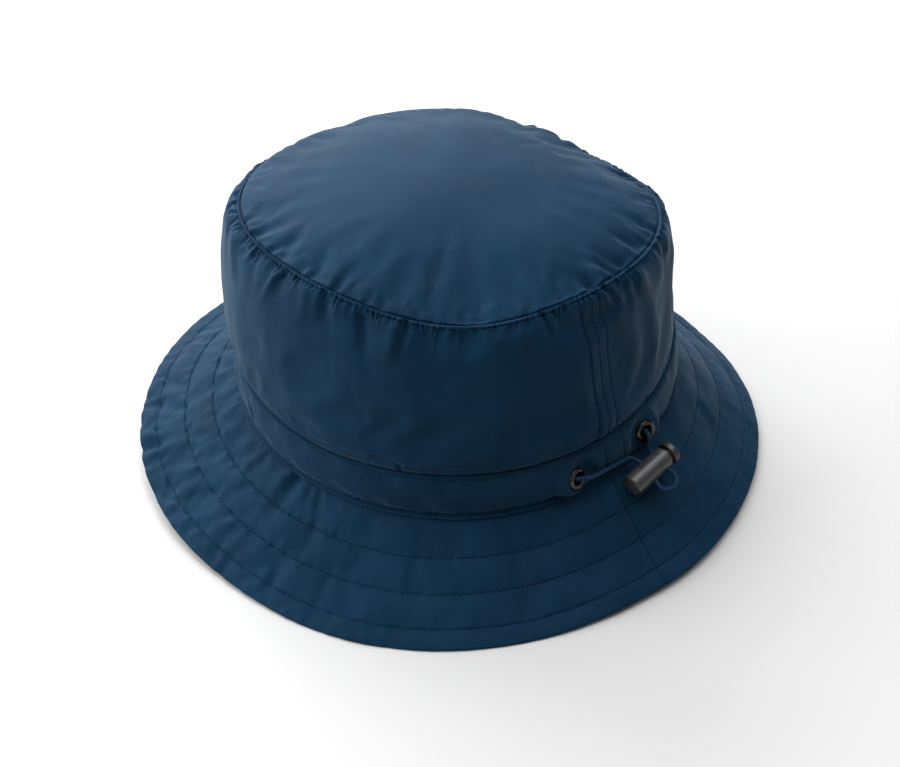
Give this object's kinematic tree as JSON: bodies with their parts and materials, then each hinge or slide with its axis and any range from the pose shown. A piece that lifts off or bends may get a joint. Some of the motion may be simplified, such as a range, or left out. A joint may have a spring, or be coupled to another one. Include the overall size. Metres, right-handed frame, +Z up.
{
  "type": "hiking hat",
  "caption": "Soft sun hat with a domed gathered crown, a drawcord casing band with eyelets, elastic cord and barrel lock at the back, and a sloping stitched brim.",
  "frame": {"origin": "on the floor under the middle of the brim's box, where the hat rests by itself", "axes": "+Z up out of the crown, +Y towards the back seam and the drawcord, the front faces -Y"},
  "size_m": [0.2676, 0.268, 0.139],
  "materials": {
    "cloth": "fine woven nylon, soft semi-matte sheen, slate navy",
    "eyelet": "polished dark gunmetal",
    "cord": "braided elastic cord, navy",
    "lock": "satin dark grey moulded plastic",
    "lock_plunger": "satin near-black moulded plastic"
  },
  "bodies": {
    "hat": {"crown_top": "cloth", "crown_wall": "cloth", "band": "cloth", "brim": "cloth", "eyelet_left": "eyelet", "eyelet_right": "eyelet", "drawcord": "cord", "cord_lock_barrel": "lock"},
    "plunger": {"cord_lock_plunger": "lock_plunger"}
  },
  "joints": [
    {"name": "plunger_press", "type": "slide", "parent": "hat", "child": "plunger", "axis": [0.9825, -0.0171, -0.1857], "range_m": [0, 0.0013], "stiffness_N_per_m": 600, "springref_m": -0.003}
  ]
}
